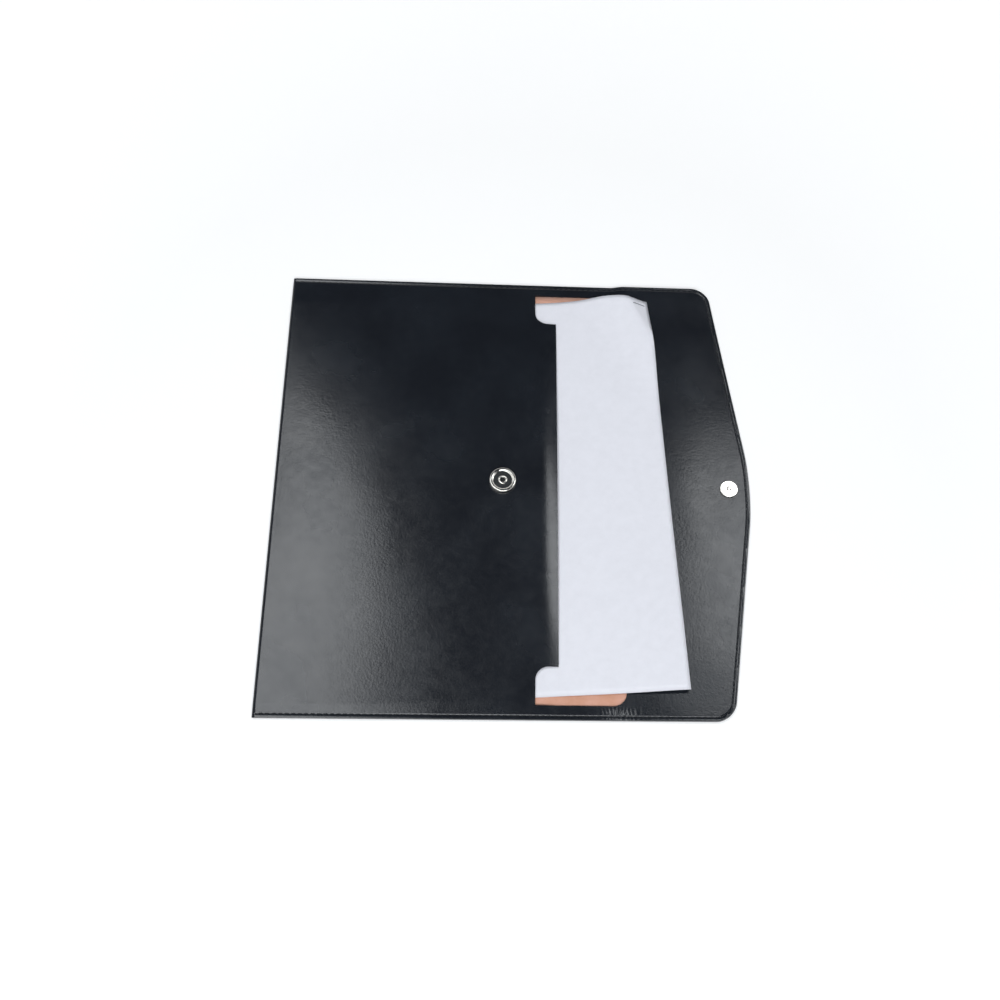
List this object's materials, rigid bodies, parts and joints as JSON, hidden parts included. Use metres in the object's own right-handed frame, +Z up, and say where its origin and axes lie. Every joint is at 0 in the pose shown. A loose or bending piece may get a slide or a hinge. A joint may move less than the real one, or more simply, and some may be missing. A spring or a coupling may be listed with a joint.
{
  "type": "document wallet",
  "caption": "Flat leather document wallet with a stepped pocket mouth and a pointed fold-over flap on a magnetic snap, lying open with stapled sheets half out.",
  "frame": {"origin": "on the underside, at the middle of the open wallet's length and width", "axes": "+X from the closed end to the flap's tip, +Y across the wallet, +Z up from the surface that it lies on"},
  "size_m": [0.3262, 0.328, 0.0109],
  "materials": {
    "leather": "smooth black",
    "lining": "tan suede cloth",
    "thread": "black thread",
    "nickel": "polished nickel plate",
    "magnet": "bare ferrite",
    "steel": "plain",
    "paper": "matt white"
  },
  "bodies": {
    "pocket": {"back_panel": "leather", "fold_strip": "leather", "pocket_lining": "lining", "fold_lining": "lining", "closed_end": "leather", "front_panel": "leather", "fold_facing": "leather", "pocket_stitches": "thread", "fold_stitches": "thread", "socket_shell": "nickel", "socket_magnet": "magnet", "socket_base": "steel", "socket_eyelet": "nickel", "socket_washer": "steel", "socket_patch": "leather"},
    "flap": {"flap_panel": "leather", "flap_facing": "leather", "flap_stitches": "thread", "stud_plate": "nickel", "stud_peg": "nickel", "stud_washer": "steel"},
    "document": {"sheets": "paper", "sheet_ends": "paper", "staple": "steel"}
  },
  "joints": [
    {"name": "flap_fold", "type": "hinge", "parent": "pocket", "child": "flap", "pos_m": [0.0699, 0, 0.00703], "axis": [0, -1, 0], "range_deg": [0, 180], "deforming": ["fold_strip", "fold_lining", "fold_facing", "fold_stitches", "sheet_ends", "staple"]},
    {"name": "document_slide", "type": "slide", "parent": "pocket", "child": "document", "axis": [-1, 0, 0], "range_m": [-0.035, 0.04]}
  ]
}
